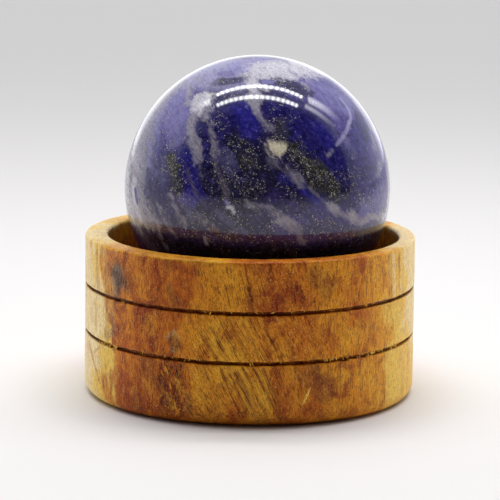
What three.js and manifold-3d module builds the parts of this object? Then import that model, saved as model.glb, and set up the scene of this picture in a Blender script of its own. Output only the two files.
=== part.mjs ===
// Decorative sphere: a polished lapis lazuli ball that rests in a turned wooden cup stand.
//
// Millimetres, +Z up. The origin is the middle of the stand's flat underside, -Y is the front
// and +X is to the right of someone who faces it. Both pieces are bodies of revolution that a
// hand has shaped further: the cup's hollow and the ball's seat sit a little off the stand's own
// axis, and the rounding of the foot is heavier at the front.
import * as THREE from "three";
import { mergeVertices } from "three/addons/utils/BufferGeometryUtils.js";
import Module from "manifold-3d";

// --- Driving dimensions -------------------------------------------------------------------

const BALL_RADIUS = 30; // a 60 mm polished sphere
const BALL_OFFSET_X = 1.45; // the ball lies a little to the right of the stand's axis

const STAND_HEIGHT = 36;
const RIM_RADIUS = 37.4; // outside of the stand at its rim
const BASE_RADIUS = 37.7; // outside at the foot: the side flares very slightly downwards
const RIM_ROUND = 0.6; // outer edge of the rim
const LIP_ROUND = 0.7; // inner edge of the rim

const GROOVE_HEIGHTS = [25, 14.3]; // the two turned grooves, upper one first
const GROOVE_WIDTH = 0.8; // at the bottom of the groove
const GROOVE_DEPTH = 1.2;
const GROOVE_BEVEL = 0.25; // sanded lips of each groove

const FOOT_ROUND = 2.6; // lower edge round the sides and the back
const FOOT_ROUND_FRONT = 5; // lower edge at the middle of the front
const FOOT_FRONT_SHARPNESS = 4; // how quickly the heavier rounding fades round the sides

const CUP_RADIUS = 33; // the hollow that the ball lies in
const CUP_OFFSET_X = 0.7;
const CUP_FLOOR = 18; // height of the hollow's floor above the underside
const CUP_CORNER = 8; // fillet between the hollow's wall and floor

const SEAT_RADIUS = 31; // shallow scoop in the floor, a little flatter than the ball
const SEAT_DEPTH = 2;
const SEAT_GAP = 0.08; // between the ball and the scoop where the ball rests

const STAND_SEGMENTS = 84;
const BALL_SEGMENTS = 56;
const BALL_RINGS = 32;
const ROUND_STEPS = 3; // steps on a small rounded edge
const CORNER_STEPS = 5; // steps on the foot's and the hollow's larger curves
const CUT_CLEARANCE = 2; // how far the cutting solid passes above the rim

// --- Derived dimensions -------------------------------------------------------------------

const SEAT_BOTTOM = CUP_FLOOR - SEAT_DEPTH;
const BALL_CENTRE_Z = SEAT_BOTTOM + SEAT_GAP + BALL_RADIUS;

// --- Profiles: points (radius, height) ----------------------------------------------------

// Points of an arc, angles in degrees, from `from` to `to` about (x, y).
function arc(x, y, radius, from, to, steps) {
  return Array.from({ length: steps + 1 }, (_, i) => {
    const angle = THREE.MathUtils.degToRad(from + ((to - from) * i) / steps);
    return new THREE.Vector2(x + radius * Math.cos(angle), y + radius * Math.sin(angle));
  });
}

// Outside radius of the stand at a height: a straight line from foot to rim.
function sideRadius(height) {
  return THREE.MathUtils.lerp(BASE_RADIUS, RIM_RADIUS, height / STAND_HEIGHT);
}

// A square-bottomed groove with bevelled lips, from its lower lip to its upper one.
function grooveProfile(height) {
  const half = GROOVE_WIDTH / 2;
  const outer = sideRadius(height);
  const inner = outer - GROOVE_DEPTH;
  return [
    new THREE.Vector2(outer, height - half - GROOVE_BEVEL),
    new THREE.Vector2(outer - GROOVE_BEVEL, height - half),
    new THREE.Vector2(inner, height - half),
    new THREE.Vector2(inner, height + half),
    new THREE.Vector2(outer - GROOVE_BEVEL, height + half),
    new THREE.Vector2(outer, height + half + GROOVE_BEVEL),
  ];
}

// The stand's outside, from the middle of the underside up to the middle of the top.
function standProfile() {
  const upwards = [...GROOVE_HEIGHTS].reverse();
  return [
    new THREE.Vector2(0, 0),
    ...arc(BASE_RADIUS - FOOT_ROUND, FOOT_ROUND, FOOT_ROUND, -90, 0, CORNER_STEPS),
    ...upwards.flatMap(grooveProfile),
    ...arc(RIM_RADIUS - RIM_ROUND, STAND_HEIGHT - RIM_ROUND, RIM_ROUND, 0, 90, ROUND_STEPS),
    new THREE.Vector2(0, STAND_HEIGHT),
  ];
}

// The hollow, from the middle of its floor up past the rim; its mouth opens in a rounded lip.
function cupProfile() {
  const lip = arc(
    CUP_RADIUS + LIP_ROUND, STAND_HEIGHT - LIP_ROUND, LIP_ROUND, 180, 90, ROUND_STEPS,
  );
  return [
    new THREE.Vector2(0, CUP_FLOOR),
    ...arc(CUP_RADIUS - CUP_CORNER, CUP_FLOOR + CUP_CORNER, CUP_CORNER, -90, 0, CORNER_STEPS),
    ...lip,
    new THREE.Vector2(CUP_RADIUS + LIP_ROUND, STAND_HEIGHT + CUT_CLEARANCE),
    new THREE.Vector2(0, STAND_HEIGHT + CUT_CLEARANCE),
  ];
}

// --- Geometry helpers ---------------------------------------------------------------------

// Revolves a profile about the vertical axis.
function turned(profile, segments) {
  return new THREE.LatheGeometry(profile, segments).rotateX(Math.PI / 2);
}

// Local rounding of the foot in the direction (x, y): heavier towards the front.
function footRounding(x, y) {
  const towardsFront = Math.max(0, -y / Math.hypot(x, y));
  return THREE.MathUtils.lerp(FOOT_ROUND, FOOT_ROUND_FRONT, towardsFront ** FOOT_FRONT_SHARPNESS);
}

// Grows the turned rounding of the foot, corner by corner, to the local one.
function varyFootRounding(geometry) {
  const points = geometry.getAttribute("position");
  for (let i = 0; i < points.count; i++) {
    const radius = Math.hypot(points.getX(i), points.getY(i));
    const onFootArc = points.getZ(i) <= FOOT_ROUND && radius >= BASE_RADIUS - FOOT_ROUND - 0.01;
    if (!onFootArc) continue;
    const growth = footRounding(points.getX(i), points.getY(i)) / FOOT_ROUND;
    const grown = (BASE_RADIUS + (radius - BASE_RADIUS) * growth) / radius;
    points.setXYZ(i, points.getX(i) * grown, points.getY(i) * grown, points.getZ(i) * growth);
  }
  return geometry;
}

const wasm = await Module();
wasm.setup();

// A closed three.js geometry as a solid that can be cut.
function solid(geometry) {
  const bare = geometry.clone();
  bare.deleteAttribute("normal");
  bare.deleteAttribute("uv");
  const merged = mergeVertices(bare, 1e-4);
  return new wasm.Manifold(
    new wasm.Mesh({
      numProp: 3,
      vertProperties: new Float32Array(merged.getAttribute("position").array),
      triVerts: new Uint32Array(merged.index.array),
    }),
  );
}

// A solid's surface as a three.js geometry.
function surface(body) {
  const mesh = body.getMesh();
  const geometry = new THREE.BufferGeometry();
  geometry.setAttribute("position", new THREE.BufferAttribute(mesh.vertProperties, mesh.numProp));
  geometry.setIndex(new THREE.BufferAttribute(mesh.triVerts, 1));
  geometry.computeVertexNormals();
  return geometry;
}

// --- The pieces ---------------------------------------------------------------------------

// The wooden stand: one turned block with two grooves, hollowed out for the ball.
function makeStand() {
  const block = solid(varyFootRounding(turned(standProfile(), STAND_SEGMENTS)));
  const hollow = solid(turned(cupProfile(), STAND_SEGMENTS).translate(CUP_OFFSET_X, 0, 0));
  const scoop = solid(
    new THREE.SphereGeometry(SEAT_RADIUS, BALL_SEGMENTS, BALL_RINGS)
      .rotateX(Math.PI / 2)
      .translate(BALL_OFFSET_X, 0, SEAT_BOTTOM + SEAT_RADIUS),
  );
  const wood = new THREE.MeshStandardMaterial({
    color: new THREE.Color(0.62, 0.33, 0.1),
    roughness: 0.55,
    metalness: 0,
  });
  const stand = new THREE.Mesh(surface(block.subtract(hollow).subtract(scoop)), wood);
  stand.name = "stand";
  return stand;
}

// The ball: one polished piece of lapis lazuli.
function makeSphere() {
  const lapis = new THREE.MeshStandardMaterial({
    color: new THREE.Color(0.09, 0.1, 0.36),
    roughness: 0.08,
    metalness: 0,
  });
  const ball = new THREE.SphereGeometry(BALL_RADIUS, BALL_SEGMENTS, BALL_RINGS);
  const sphere = new THREE.Mesh(ball.rotateX(Math.PI / 2), lapis);
  sphere.name = "sphere";
  sphere.position.set(BALL_OFFSET_X, 0, BALL_CENTRE_Z);
  return sphere;
}

const decorativeSphere = new THREE.Group();
decorativeSphere.name = "decorative_sphere";
decorativeSphere.add(makeStand(), makeSphere());

export default decorativeSphere;
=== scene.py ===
from math import cos, degrees, pi, radians, sin, sqrt

import bmesh
import bpy
import numpy as np
from mathutils import Matrix, Vector


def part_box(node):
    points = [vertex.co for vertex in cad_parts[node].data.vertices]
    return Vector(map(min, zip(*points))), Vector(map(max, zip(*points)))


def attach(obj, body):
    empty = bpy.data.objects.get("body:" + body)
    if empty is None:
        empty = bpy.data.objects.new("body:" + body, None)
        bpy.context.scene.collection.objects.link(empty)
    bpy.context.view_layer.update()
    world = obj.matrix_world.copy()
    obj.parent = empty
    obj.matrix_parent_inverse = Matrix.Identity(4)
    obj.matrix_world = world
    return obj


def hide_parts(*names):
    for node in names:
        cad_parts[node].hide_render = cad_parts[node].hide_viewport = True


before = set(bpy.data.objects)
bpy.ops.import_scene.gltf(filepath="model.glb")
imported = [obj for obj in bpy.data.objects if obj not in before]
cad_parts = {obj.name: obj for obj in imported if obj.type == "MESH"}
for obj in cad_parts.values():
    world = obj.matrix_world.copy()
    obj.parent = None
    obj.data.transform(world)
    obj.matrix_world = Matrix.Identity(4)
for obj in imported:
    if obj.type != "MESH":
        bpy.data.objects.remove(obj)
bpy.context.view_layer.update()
scene = bpy.context.scene

MM = 0.001
BALL_LOW, BALL_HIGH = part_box("sphere")
STAND_LOW, STAND_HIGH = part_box("stand")
BALL_CENTRE = (BALL_LOW + BALL_HIGH) / 2
BALL_RADIUS = (BALL_HIGH.z - BALL_LOW.z) / 2

# Radiances of the light tent around the object, and of the dim room that it opens to.
TENT_SIDES, TENT_BACK = 0.58, 1.55
ROOM = 0.06
# The tent fills the directions that reach this far along this axis.
TENT_AXIS, TENT_EDGE = (-0.09, 1.0, -0.105), -0.155
# The floor's width in m, how far it lies under the stand, and its own light.
FLOOR_SIZE, FLOOR_GAP = 9, 0.00005
FLOOR_LIGHT, FLOOR_LIGHT_SPREAD = 1.5, 70

# The stone's layers lean down to the right, as seen from the front, by this turn about Y.
LAYER_TURN = -50


# --- Numbers that change smoothly ---

def smooth(edge0, edge1, x):
    """0 at edge0, 1 at edge1, and a smooth step between them."""
    t = np.clip((x - edge0) / (edge1 - edge0), 0, 1)
    return t * t * (3 - 2 * t)


def blend(a, b, share):
    return a + (b - a) * share[:, None]


def gradient_noise(points, seed):
    """Perlin noise, about -0.6 to 0.6, with a period of 1."""
    rng = np.random.default_rng(seed)
    shuffle = rng.permutation(256)
    slopes = rng.normal(size=(256, 3))
    slopes /= np.linalg.norm(slopes, axis=1)[:, None]
    cell = np.floor(points).astype(int)
    inside = points - cell
    ease = inside ** 3 * (inside * (inside * 6 - 15) + 10)
    value = np.zeros(len(points))
    for corner in np.ndindex(2, 2, 2):
        x, y, z = ((cell + corner) & 255).T
        slope = slopes[shuffle[(shuffle[(shuffle[x] + y) & 255] + z) & 255]]
        weight = np.prod(np.where(corner, ease, 1 - ease), axis=1)
        value += weight * np.sum((inside - corner) * slope, axis=1)
    return value


def noise_at(points, scale, seed, octaves=1, gain=0.5):
    """Layered noise of points in mm, at scale per mm and finer."""
    layers = [gain ** n * gradient_noise(points * scale * 2 ** n, seed + n) for n in range(octaves)]
    return sum(layers)


def distance_to_path(places, points):
    nearest = np.full(len(places), np.inf)
    for a, b in zip(points, points[1:]):
        span = b - a
        along = np.clip((places - a) @ span / (span @ span), 0, 1)
        gap = np.linalg.norm(places - (a + along[:, None] * span), axis=1)
        nearest = np.minimum(nearest, gap)
    return nearest


def linear(shade):
    """An sRGB triple of 0 to 255 as linear light."""
    share = [c / 255 for c in shade]
    light = [c / 12.92 if c <= 0.04045 else ((c + 0.055) / 1.055) ** 2.4 for c in share]
    return np.array(light)


def give_attribute(mesh, name, values):
    layer = mesh.attributes.new(name, "FLOAT", "POINT")
    layer.data.foreach_set("value", np.asarray(values, np.float32))


def give_colour(mesh, name, values):
    layer = mesh.attributes.new(name, "FLOAT_COLOR", "POINT")
    opaque = np.column_stack([values, np.ones(len(values))])
    layer.data.foreach_set("color", opaque.astype(np.float32).ravel())


def add_object(name, data):
    item = bpy.data.objects.new(name, data)
    scene.collection.objects.link(item)
    return item


def tube_faces(rings, sides):
    """The quads between rings of points, and the faces that close the first and last ring."""
    start = np.arange(rings - 1)[:, None] * sides
    here, after = np.arange(sides), (np.arange(sides) + 1) % sides
    quads = np.stack([start + here, start + after, start + sides + after, start + sides + here], -1)
    last = (rings - 1) * sides
    ends = [list(range(sides))[::-1], list(range(last, last + sides))]
    return quads.reshape(-1, 4).tolist() + ends


# --- Node trees ---

class Tree:
    """A node tree. Each call adds one node and returns its output."""

    def __init__(self, node_tree):
        self.nodes = node_tree.nodes
        self.links = node_tree.links

    @classmethod
    def of_material(cls, name):
        material = bpy.data.materials.new(name)
        material.use_nodes = True
        tree = cls(material.node_tree)
        tree.material = material
        tree.shader = tree.nodes["Principled BSDF"]
        return tree

    def feed(self, socket, value):
        if isinstance(value, bpy.types.NodeSocket):
            self.links.new(value, socket)
        elif isinstance(value, tuple) and socket.type == "RGBA":
            socket.default_value = (*linear(value), 1.0)
        elif value is not None:
            socket.default_value = value

    def add(self, kind, inputs, output=0, **settings):
        node = self.nodes.new("ShaderNode" + kind)
        for name, value in settings.items():
            setattr(node, name, value)
        for socket, value in inputs.items():
            self.feed(node.inputs[socket], value)
        return node.outputs[output]

    def surface(self, inputs):
        """The material, with these values or outputs on its shader."""
        for name, value in inputs.items():
            self.feed(self.shader.inputs[name], value)
        return self.material

    def attribute(self, name, output="Fac"):
        return self.add("Attribute", {}, output, attribute_name=name)

    def math(self, operation, a, b=None):
        return self.add("Math", {0: a, 1: b}, operation=operation)

    def plus(self, a, b):
        return self.math("ADD", a, b)

    def minus(self, a, b):
        return self.math("SUBTRACT", a, b)

    def times(self, a, b):
        return self.math("MULTIPLY", a, b)

    def vector_math(self, operation, a, b, output="Vector"):
        return self.add("VectorMath", {0: a, 1: b}, output, operation=operation)

    def scaled(self, vector, factors):
        return self.vector_math("MULTIPLY", vector, factors)

    def turned(self, vector, degrees):
        """A vector turned about Y."""
        return self.add("Mapping", {"Vector": vector, "Rotation": (0, radians(degrees), 0)})

    def split(self, value):
        """The three parts of a vector or colour."""
        node = self.nodes.new("ShaderNodeSeparateXYZ")
        self.feed(node.inputs[0], value)
        return node.outputs

    def place_mm(self):
        """The frame's coordinates in mm."""
        return self.scaled(self.add("TexCoord", {}, "Object"), (1000, 1000, 1000))

    def noise(self, vector, scale, detail=2.0, roughness=0.5, distortion=0.0, output="Fac"):
        inputs = {"Vector": vector, "Scale": scale, "Detail": detail, "Roughness": roughness,
                  "Distortion": distortion}
        return self.add("TexNoise", inputs, output)

    def cells(self, vector, scale, output="Distance"):
        return self.add("TexVoronoi", {"Vector": vector, "Scale": scale}, output)

    def step(self, value, low, high, to_low=0.0, to_high=1.0):
        """A smooth step of value between low and high, in either order."""
        if isinstance(low, float) and isinstance(high, float) and low > high:
            low, high, to_low, to_high = high, low, to_high, to_low
        inputs = {"Value": value, "From Min": low, "From Max": high, "To Min": to_low,
                  "To Max": to_high}
        return self.add("MapRange", inputs, "Result", interpolation_type="SMOOTHSTEP")

    def mix(self, share, a, b, blend_type="MIX"):
        return self.add("Mix", {0: share, 6: a, 7: b}, 2, data_type="RGBA", blend_type=blend_type)

    def bump(self, height, strength, distance):
        inputs = {"Strength": strength, "Distance": distance, "Height": height}
        return self.add("Bump", inputs, "Normal")


# --- The ball's geology ---

# The stone's colours, as sRGB of 0 to 255.
BLUE = (48, 42, 142)
INDIGO = (36, 30, 108)
NAVY = (36, 31, 88)
BLACK = (30, 28, 48)
OLIVE = (74, 74, 64)
PLUM = (56, 46, 104)
SLATE = (116, 112, 158)
TEAL = (138, 146, 162)
VIOLET = (88, 76, 162)
LAVENDER = (142, 136, 198)
MAUVE = (104, 94, 116)
GREY = (148, 142, 160)
PALE = (172, 166, 180)
WHITE = (226, 223, 232)
CREAM = (255, 244, 210)
RUST = (176, 122, 70)
LILAC = (172, 168, 212)
SNOW = (250, 248, 252)
CHARCOAL = (44, 36, 42)
CALCITE = (TEAL, MAUVE, GREY, PALE, WHITE, CREAM, SNOW)

# The front's marks, broad ones first: (colour, strength, half width in mm, then the longitudes
# and latitudes that it passes through).
STROKES = [
    # Broad zones.
    (SLATE, 0.8, 10, (-66, 46), (-60, 20)), (LILAC, 0.8, 7.5, (-64, 62), (-30, 66)),
    (LAVENDER, 0.75, 5.5, (-58, 38), (-44, 29)), (VIOLET, 0.75, 4.5, (-49, 44), (-45, 26)),
    (LAVENDER, 0.6, 2.5, (-54, 46), (-48, 34)), (VIOLET, 0.9, 10, (50, 58), (60, 40), (60, 16)),
    (LAVENDER, 0.55, 4, (42, 52), (56, 44)), (INDIGO, 0.45, 4, (56, 26), (56, 14)),
    (PLUM, 0.6, 6, (50, 8), (56, -4)), (INDIGO, 0.6, 6, (-38, 22), (-26, 6)),
    (LAVENDER, 0.6, 2.8, (-44, 34), (-41.5, 27)),
    (PLUM, 0.8, 5, (-36, -4), (-18, -6), (2, -6), (20, -6)),
    (CHARCOAL, 0.4, 3.5, (-28, -4), (-6, -3)), (VIOLET, 0.5, 4, (14, -9), (30, -9), (52, -9)),
    (LAVENDER, 0.5, 3.5, (53, -3), (66, -1)), (MAUVE, 0.65, 4, (-56, -4), (-44, -10), (-38, -15)),
    (PLUM, 0.6, 5, (-30, -18), (0, -17)), (PLUM, 0.6, 5, (20, -16), (44, -16)),
    # Painted shade: the charcoal band low round the front stands in for the shade that the stand's
    # rim casts there.
    (CHARCOAL, 0.9, 6.5, (-46, -25), (-20, -27), (10, -27), (40, -27), (70, -22)),
    # Painted reflection: the lilac stroke here lies along the right edge, as the tent's light
    # mirrored there.
    (LILAC, 0.85, 3.6, (83, 24), (81, -6)), (MAUVE, 0.8, 2.6, (-63, -12), (-54, -24)),
    # The pale left side.
    (GREY, 0.9, 4.5, (-78, 48), (-73, 28), (-68, 14)),
    (TEAL, 0.85, 2.6, (-61, 22), (-57, 14), (-58, 8)),
    (GREY, 0.8, 2, (-66, 30), (-64, 24), (-62, 17)),
    (WHITE, 0.75, 4.2, (-84, 20), (-75, 4), (-68, -9)),
    (PALE, 1, 3, (-66, 12), (-63, -2), (-58, -9)), (WHITE, 0.8, 2.2, (-65, 3), (-61, -6)),
    (PALE, 0.75, 2.4, (-58, 2), (-54, -7), (-48, -12)), (VIOLET, 0.9, 0.9, (-63, 2), (-62, -2)),
    (LAVENDER, 0.75, 0.6, (-59, 24), (-55, 15), (-50, 10)),
    (WHITE, 0.7, 0.6, (-48.5, 8), (-47.5, 6.5)), (PLUM, 0.6, 1.8, (-51, 10), (-47, 3)),
    (GREY, 0.7, 1, (-39, 3), (-35, -3), (-31, -9)),
    (GREY, 0.55, 0.8, (-45, -2), (-41, -9), (-37, -14)), (SLATE, 0.6, 0.9, (-33, 2), (-28, -5)),
    (GREY, 0.5, 0.9, (-27, -1), (-22, -6), (-18, -9)),
    (SLATE, 0.5, 0.8, (-16, -2), (-10, -7), (-5, -10)), (MAUVE, 0.7, 1.2, (-60, -14), (-54, -20)),
    (GREY, 0.6, 1.2, (-50, -12), (-44, -20)),
    # The middle's blues and blacks.
    (INDIGO, 0.8, 5, (-20, 38), (-10, 32)), (BLACK, 0.6, 2.8, (-24, 13), (-17, 8)),
    (BLACK, 0.55, 3, (-12, 6), (-3, 5)), (BLACK, 0.7, 3.2, (-9, 27), (-3, 20), (4, 14)),
    (BLACK, 0.7, 3.4, (13, 30), (19, 22), (28, 12)), (BLACK, 0.5, 2.6, (38, 14), (42, 9), (34, 4)),
    (BLACK, 0.5, 1.3, (-35, 56), (-28, 58)), (VIOLET, 0.6, 1.4, (-37, 62.5), (-28, 63.5)),
    (SLATE, 0.5, 1.6, (-16, 22), (-12, 16)), (NAVY, 0.8, 1.2, (-29, 57), (-20, 59), (-13, 61)),
    (NAVY, 0.9, 1.5, (19, 58), (26, 55), (30, 52)), (NAVY, 0.8, 1.2, (31, 50), (38, 51)),
    (INDIGO, 0.9, 3.6, (12, 44), (22, 40), (30, 33)),
    (INDIGO, 1, 3.8, (22, 34), (30, 27), (36, 18)), (BLUE, 0.7, 2, (31, 31), (34, 26)),
    (BLUE, 1, 2.3, (-11, 44), (-7, 38), (-5, 34)), (BLUE, 0.8, 1.1, (-4, 34), (-1, 31)),
    (INDIGO, 0.9, 1.6, (14, 34), (15, 31)), (BLUE, 0.8, 2.2, (-33, 20), (-30, 15)),
    (BLUE, 0.95, 1.6, (-29, 9), (-26, 5)), (VIOLET, 0.8, 1.2, (-31, 3), (-28, 1)),
    (BLUE, 0.7, 1.2, (9, 12), (14, 12)), (BLUE, 0.85, 1.1, (19, 8), (25, 4)),
    (INDIGO, 0.9, 2.6, (41, 20), (39, 12)), (VIOLET, 0.5, 1.6, (24, 1), (32, -1)),
    (SLATE, 0.5, 1, (45, 27), (46, 20)), (INDIGO, 0.8, 1.8, (66, 36), (60, 27)),
    # Painted reflection: the first grey stroke here is a strip beside the right edge, mirroring the
    # shade in the tent's corner.
    (GREY, 0.7, 1, (74, 42), (72, 30), (66, 22)), (TEAL, 0.7, 1.3, (66, 14), (64, 10)),
    (OLIVE, 0.9, 1.3, (-41, 17), (-39, 13)), (OLIVE, 0.6, 1.6, (-38, 9), (-35, 6)),
    (OLIVE, 0.8, 1.5, (22, 18), (26, 16), (29, 14)), (OLIVE, 0.6, 1.5, (17, 25), (19, 21)),
    (OLIVE, 0.6, 1.3, (-7, 20), (-4, 19)), (OLIVE, 0.6, 1.7, (25, 9), (33, 7)),
    (OLIVE, 0.5, 1.4, (10, 36), (13, 32)),
    # Grey and white calcite.
    (LAVENDER, 0.8, 3.6, (-22, 72), (-2, 75), (10, 79)),
    (WHITE, 1, 4.3, (6, 69), (30, 68), (60, 68), (90, 66)),
    (WHITE, 1, 2.3, (-5, 64), (10, 64), (30, 63)), (WHITE, 0.9, 1.3, (-7, 62), (-4, 57), (5, 55)),
    (WHITE, 0.95, 1.6, (-6, 57), (-5, 51), (-3, 46)),
    (PALE, 0.95, 1.1, (-4, 48), (-2, 42), (0, 39)), (GREY, 0.75, 1.1, (0, 39), (3, 35), (5, 33)),
    (LAVENDER, 0.8, 0.8, (4, 58), (9, 58)), (GREY, 0.75, 0.9, (34, 56), (37, 54)),
    (WHITE, 0.5, 0.7, (36, 57), (40, 58)), (PALE, 0.7, 1.3, (-58, 52), (-50, 50), (-46, 43)),
    (GREY, 0.6, 1, (-66, 58), (-56, 58), (-50, 56)), (WHITE, 1, 2.4, (-34, 46), (-32, 41)),
    (SNOW, 1, 2, (-36, 44.5), (-33.5, 41)), (WHITE, 0.95, 1.7, (-40, 45.5), (-37, 39)),
    (PALE, 0.7, 1.1, (-29, 41), (-28, 36)), (PALE, 0.95, 1.5, (-37, 36), (-34, 30)),
    (PALE, 0.95, 1.3, (-33, 30), (-30, 24), (-27, 20)),
    (GREY, 0.75, 1, (-24, 33), (-21, 27), (-19, 21)), (GREY, 0.5, 0.8, (-27, 20), (-24, 12)),
    (MAUVE, 0.6, 0.8, (-31, 14), (-27, 7), (-22, 1)), (MAUVE, 0.5, 0.8, (-8, 6), (-2, 1), (2, -3)),
    (MAUVE, 0.8, 0.8, (-18, 18), (-14, 9), (-12, 4)), (MAUVE, 0.6, 1.6, (5, 20), (10, 18)),
    (MAUVE, 0.85, 1.1, (12, 16), (14, 13)), (GREY, 0.85, 1.2, (15, 12), (18, 11)),
    (GREY, 0.6, 0.5, (19, 10), (24, 6), (31, 0)), (PALE, 1, 1.3, (32, -1), (35, -3)),
    (GREY, 0.8, 0.8, (36, -3), (40, -5)), (PALE, 0.95, 1.2, (43, -3), (45, -6)),
    (PALE, 0.8, 1.1, (47, -7), (56, -7), (72, -8)), (WHITE, 0.7, 2.2, (84, 8), (76, -6)),
    (GREY, 0.7, 1.1, (-3, 3), (4, 2), (8, -2)), (PALE, 0.95, 1.5, (10, -5), (15, -8.5)),
    (GREY, 0.75, 1.3, (16, -9), (20, -14)),
    # Small marks.
    (LILAC, 0.8, 0.45, (59, 46), (59, 40), (56, 36), (52, 34)),
    (LILAC, 0.85, 0.45, (52, 34), (48, 31), (43, 28)), (LILAC, 0.7, 0.4, (43, 28), (38, 25)),
    (GREY, 0.7, 0.6, (35, 23), (32, 21)), (PALE, 0.6, 1.7, (5, 24), (6.5, 22)),
    (CREAM, 1, 1.5, (6.6, 24.5), (9.4, 24)), (CREAM, 0.5, 0.5, (6, 28), (8, 26)),
    (LAVENDER, 0.8, 0.4, (-13, 3), (-12, 1.5)),
    (WHITE, 0.9, 0.6, (-12, 0.5), (-10.5, 0), (-9.8, -1.5)),
    (RUST, 0.45, 0.6, (-19.5, -9.3), (-17, -9.6)), (PALE, 0.8, 0.5, (-22.5, -13), (-22, -16)),
    (CREAM, 0.9, 0.18, (-32, 50.5), (-30.5, 49)),
]

# The clusters of pyrite: (density, half width in mm, then the path).
PYRITE = [
    (0.9, 4.5, (13, 32), (18, 24), (26, 14)), (0.9, 3, (26, 14), (36, 8), (33, 4)),
    (0.8, 2.5, (30, 10), (44, 12)), (0.8, 2, (4, 36), (14, 34)),
    (0.9, 3, (-41, 16), (-37, 9), (-35, 6)), (0.8, 3, (-16, 15), (-10, 12), (-2, 8)),
    (0.8, 3.5, (-8, 26), (-4, 20)), (0.7, 3, (-18, 8), (-8, 3)),
    (0.7, 2, (-36, 56), (-26, 57)), (0.6, 4, (-47, 25), (-42, 20)),
    (0.6, 3.5, (-24, 38), (-16, 30)), (0.7, 2, (-8, -4), (-1, -8)),
    (0.8, 1.6, (-27, -4), (-24, -7)), (0.6, 2.5, (4, -6), (14, -2)),
    (0.9, 2, (21, -4), (26, -8), (31, -9)), (0.8, 2, (48, 3), (55, 0)),
    (0.6, 3, (18, 4), (10, 8)), (0.6, 2, (18, 60), (30, 54)),
    (0.5, 5, (-30, -2), (-14, -6)), (0.4, 3, (-4, 60), (6, 54)),
    (0.7, 2.2, (-28, -9), (-6, -11), (12, -10)), (0.65, 2, (24, -10), (46, -11)),
    (0.5, 3, (-50, -6), (-30, -9)),
]

# Places without a speck, in the same form.
CLEAR = [
    (1, 3, (-10, 43), (-6, 36)), (1, 3.6, (26, 34), (34, 22)),
    (0.8, 2, (-28, 8), (-26, 5)), (0.9, 1.6, (20, 7), (26, 3)),
    (1, 5, (50, 46), (58, 28)), (0.8, 2, (14, 33), (15, 31)),
    (0.9, 4, (20, 68), (60, 66)), (0.9, 2.5, (-34, 45), (-31, 41)),
    (0.7, 2, (12, -7), (14, -8)), (0.7, 4, (-75, 10), (-68, -8)),
    # Part of the painted shade low round the front: that band is kept free of specks.
    (0.8, 5.5, (-60, -26), (-30, -29), (0, -30), (30, -29), (60, -26)),
]

# Quads along each edge of the cube that the ball's mesh is made from.
DIVISIONS = 126
# How far the marks' edges wander, as a share of the radius. Marks of a smaller half width don't.
WANDER, SMALL_MARK = 0.05, 0.9
# The marks on the side that faces away: how many, their seed, and how strong their calcite is.
HIDDEN_COUNT, HIDDEN_SEED, HIDDEN_CALCITE = 150, 7, 0.72
# A feathered mark falls off all the way from its path to twice its half width.
FEATHER = (0.0, 2.0)
# The fewest specks anywhere, and how many more a slow noise adds.
FEWEST_SPECKS, MORE_SPECKS = 0.22, 0.35


def direction(longitude, latitude):
    lon, lat = radians(longitude), radians(latitude)
    return np.array([sin(lon) * cos(lat), -cos(lon) * cos(lat), sin(lat)])


def reach(directions, half, path, full=0.65, end=1.35):
    """1 near a path over the ball, falling to 0 between these shares of the half width."""
    gap = distance_to_path(directions, [direction(*p) for p in path]) * BALL_RADIUS / MM
    return smooth(end, full, gap / half)


def hidden_strokes():
    """Strokes of the same kinds over the side of the ball that faces away."""
    rng = np.random.default_rng(HIDDEN_SEED)
    kinds = [(INDIGO, 4.5), (BLACK, 3.0), (BLUE, 2.0), (SLATE, 3.0), (GREY, 1.3), (PALE, 1.0),
             (VIOLET, 3.0), (MAUVE, 2.0), (PLUM, 3.0), (WHITE, 0.8)]
    strokes = []
    for index in range(HIDDEN_COUNT):
        shade, half = kinds[index % len(kinds)]
        lon, lat = rng.uniform(95, 265), rng.uniform(-55, 75)
        turn = radians(rng.normal(-50, 22))
        length = rng.uniform(5, 24)
        end = (lon + length * cos(turn), lat + length * sin(turn))
        bend = (lon + 0.5 * length * cos(turn) + rng.uniform(-3, 3), (lat + end[1]) / 2)
        strength = rng.uniform(0.6, 0.95) * (HIDDEN_CALCITE if shade in CALCITE else 1.0)
        half = max(SMALL_MARK, half * rng.uniform(0.5, 1.2))
        strokes.append((shade, strength, half, (lon, lat), bend, end))
    return strokes


def sphere_mesh(name, divisions):
    """A sphere of even quads: a cube's grid pushed out, with its poles nowhere special."""
    builder = bmesh.new()
    bmesh.ops.create_cube(builder, size=2)
    bmesh.ops.subdivide_edges(builder, edges=builder.edges, cuts=divisions - 1, use_grid_fill=True)
    mesh = bpy.data.meshes.new(name)
    builder.to_mesh(mesh)
    builder.free()
    grid = np.array([v.co for v in mesh.vertices])
    grid = np.tan(grid * pi / 4)
    return mesh, grid / np.linalg.norm(grid, axis=1)[:, None]


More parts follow.
